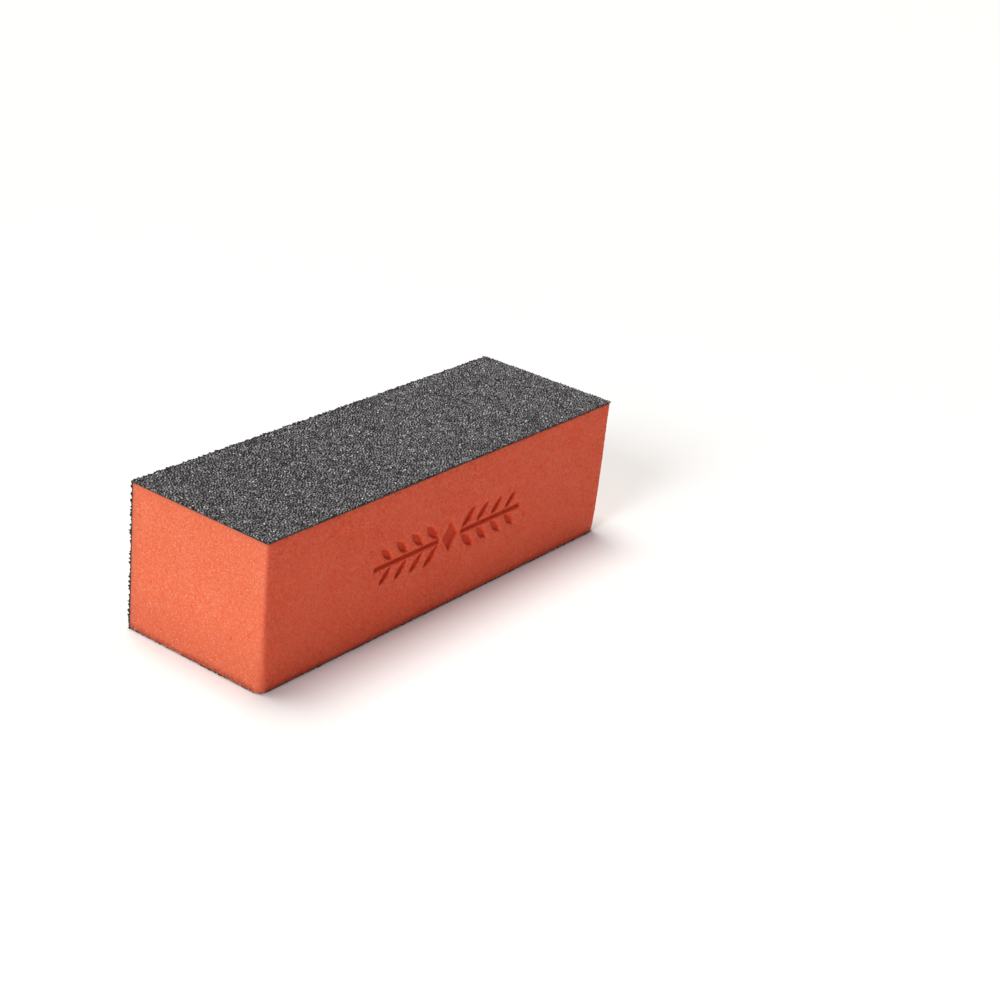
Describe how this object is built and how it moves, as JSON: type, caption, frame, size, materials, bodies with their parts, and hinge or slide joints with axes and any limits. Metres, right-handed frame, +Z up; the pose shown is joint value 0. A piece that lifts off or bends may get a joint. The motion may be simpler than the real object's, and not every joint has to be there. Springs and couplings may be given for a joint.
{
  "type": "nail buffer block",
  "caption": "Oblong foam nail buffing block with abrasive paper on its top, back and bottom and a bare foam front with a pressed leaf border.",
  "frame": {"origin": "middle of the footprint, on the underside of the bottom abrasive strip", "axes": "+X along the block, +Y from the bare foam front to the abrasive back, +Z up from the bottom abrasive strip to the top one"},
  "size_m": [0.095, 0.031, 0.0278],
  "materials": {
    "foam": "matte fine-celled orange foam",
    "grit": "coarse black mineral grains with glinting facets",
    "backing_paper": "matte black paper with a fibrous cut edge",
    "adhesive": "thin clear glue film that takes the colour of the foam"
  },
  "bodies": {
    "root": {"foam_core": "foam", "top_grit_coat": "grit", "top_backing_paper": "backing_paper", "top_adhesive_film": "adhesive", "back_grit_coat": "grit", "back_backing_paper": "backing_paper", "back_adhesive_film": "adhesive", "bottom_grit_coat": "grit", "bottom_backing_paper": "backing_paper", "bottom_adhesive_film": "adhesive"}
  },
  "joints": []
}
